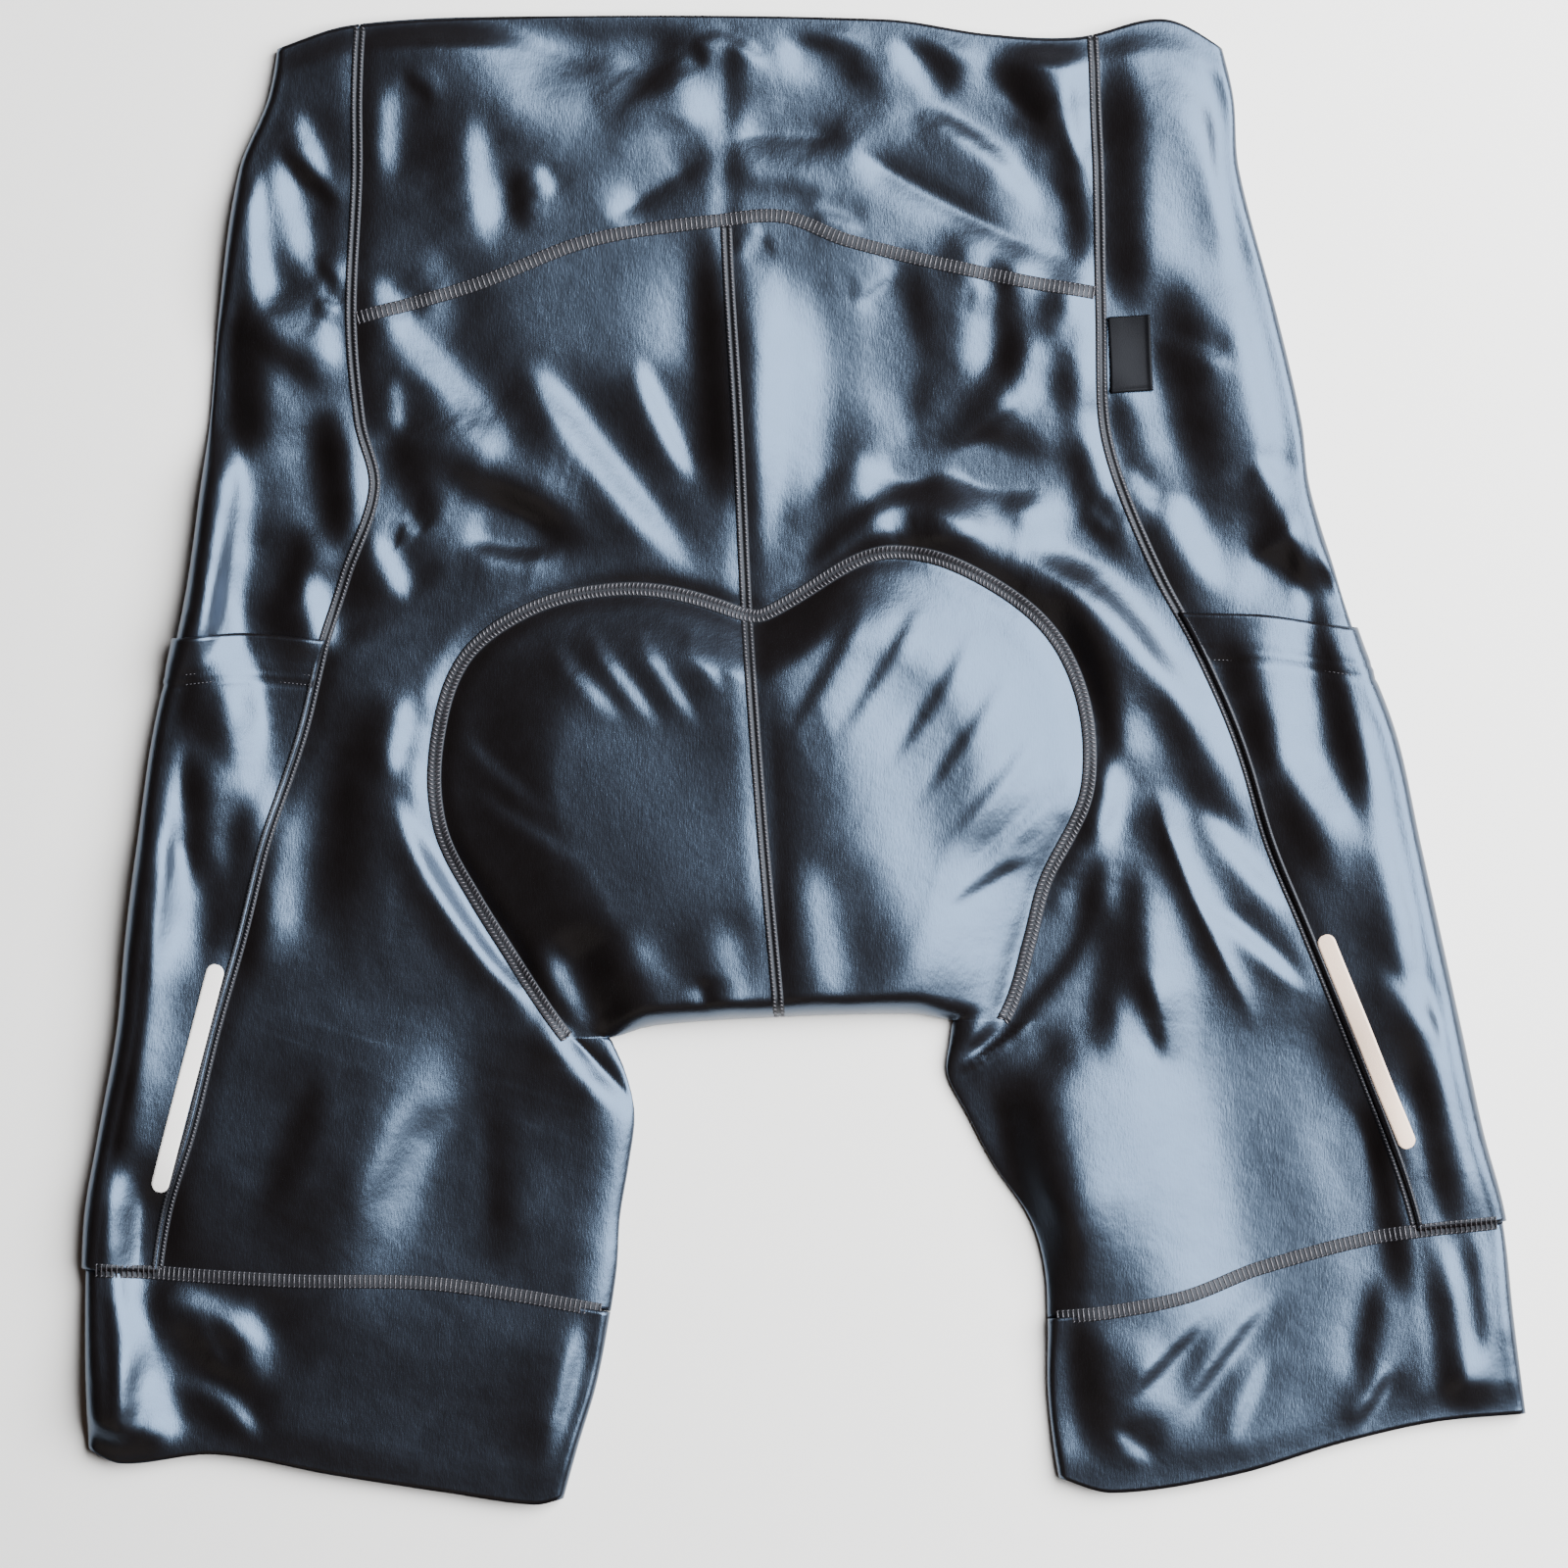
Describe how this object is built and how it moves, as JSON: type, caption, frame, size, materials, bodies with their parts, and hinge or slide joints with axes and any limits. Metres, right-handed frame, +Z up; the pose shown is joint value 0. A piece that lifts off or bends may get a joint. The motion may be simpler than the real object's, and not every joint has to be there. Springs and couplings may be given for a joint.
{
  "type": "padded shorts",
  "caption": "Black satin-knit padded cycling shorts laid flat on their front, back side up, with side pockets, leg bands, reflective strips and a stitched heart-shaped seat pad.",
  "frame": {"origin": "middle of the laid garment's plan, on the surface that it lies on", "axes": "+X to the right of the picture, +Y from the legs to the waist, +Z up from the surface through the front layer to the back"},
  "size_m": [0.4894, 0.5038, 0.0147],
  "materials": {
    "knit": "black nylon and elastane knit with a satin sheen",
    "thread": "dark spun polyester sewing thread",
    "foam": "moulded pad foam under a knit face",
    "reflective_pale": "retroreflective transfer film, pale silver",
    "reflective_warm": "retroreflective transfer film, warm silver",
    "label": "folded woven satin label, bare"
  },
  "bodies": {
    "root": {"back_waistband": "knit", "back_left": "knit", "back_right": "knit", "side_left": "knit", "side_right": "knit", "pocket_left": "knit", "pocket_right": "knit", "band_left": "knit", "band_right": "knit", "front_waistband": "knit", "front_left": "knit", "front_right": "knit", "seat_pad": "foam", "strip_left": "reflective_pale", "strip_right": "reflective_warm", "label": "label"}
  },
  "joints": []
}
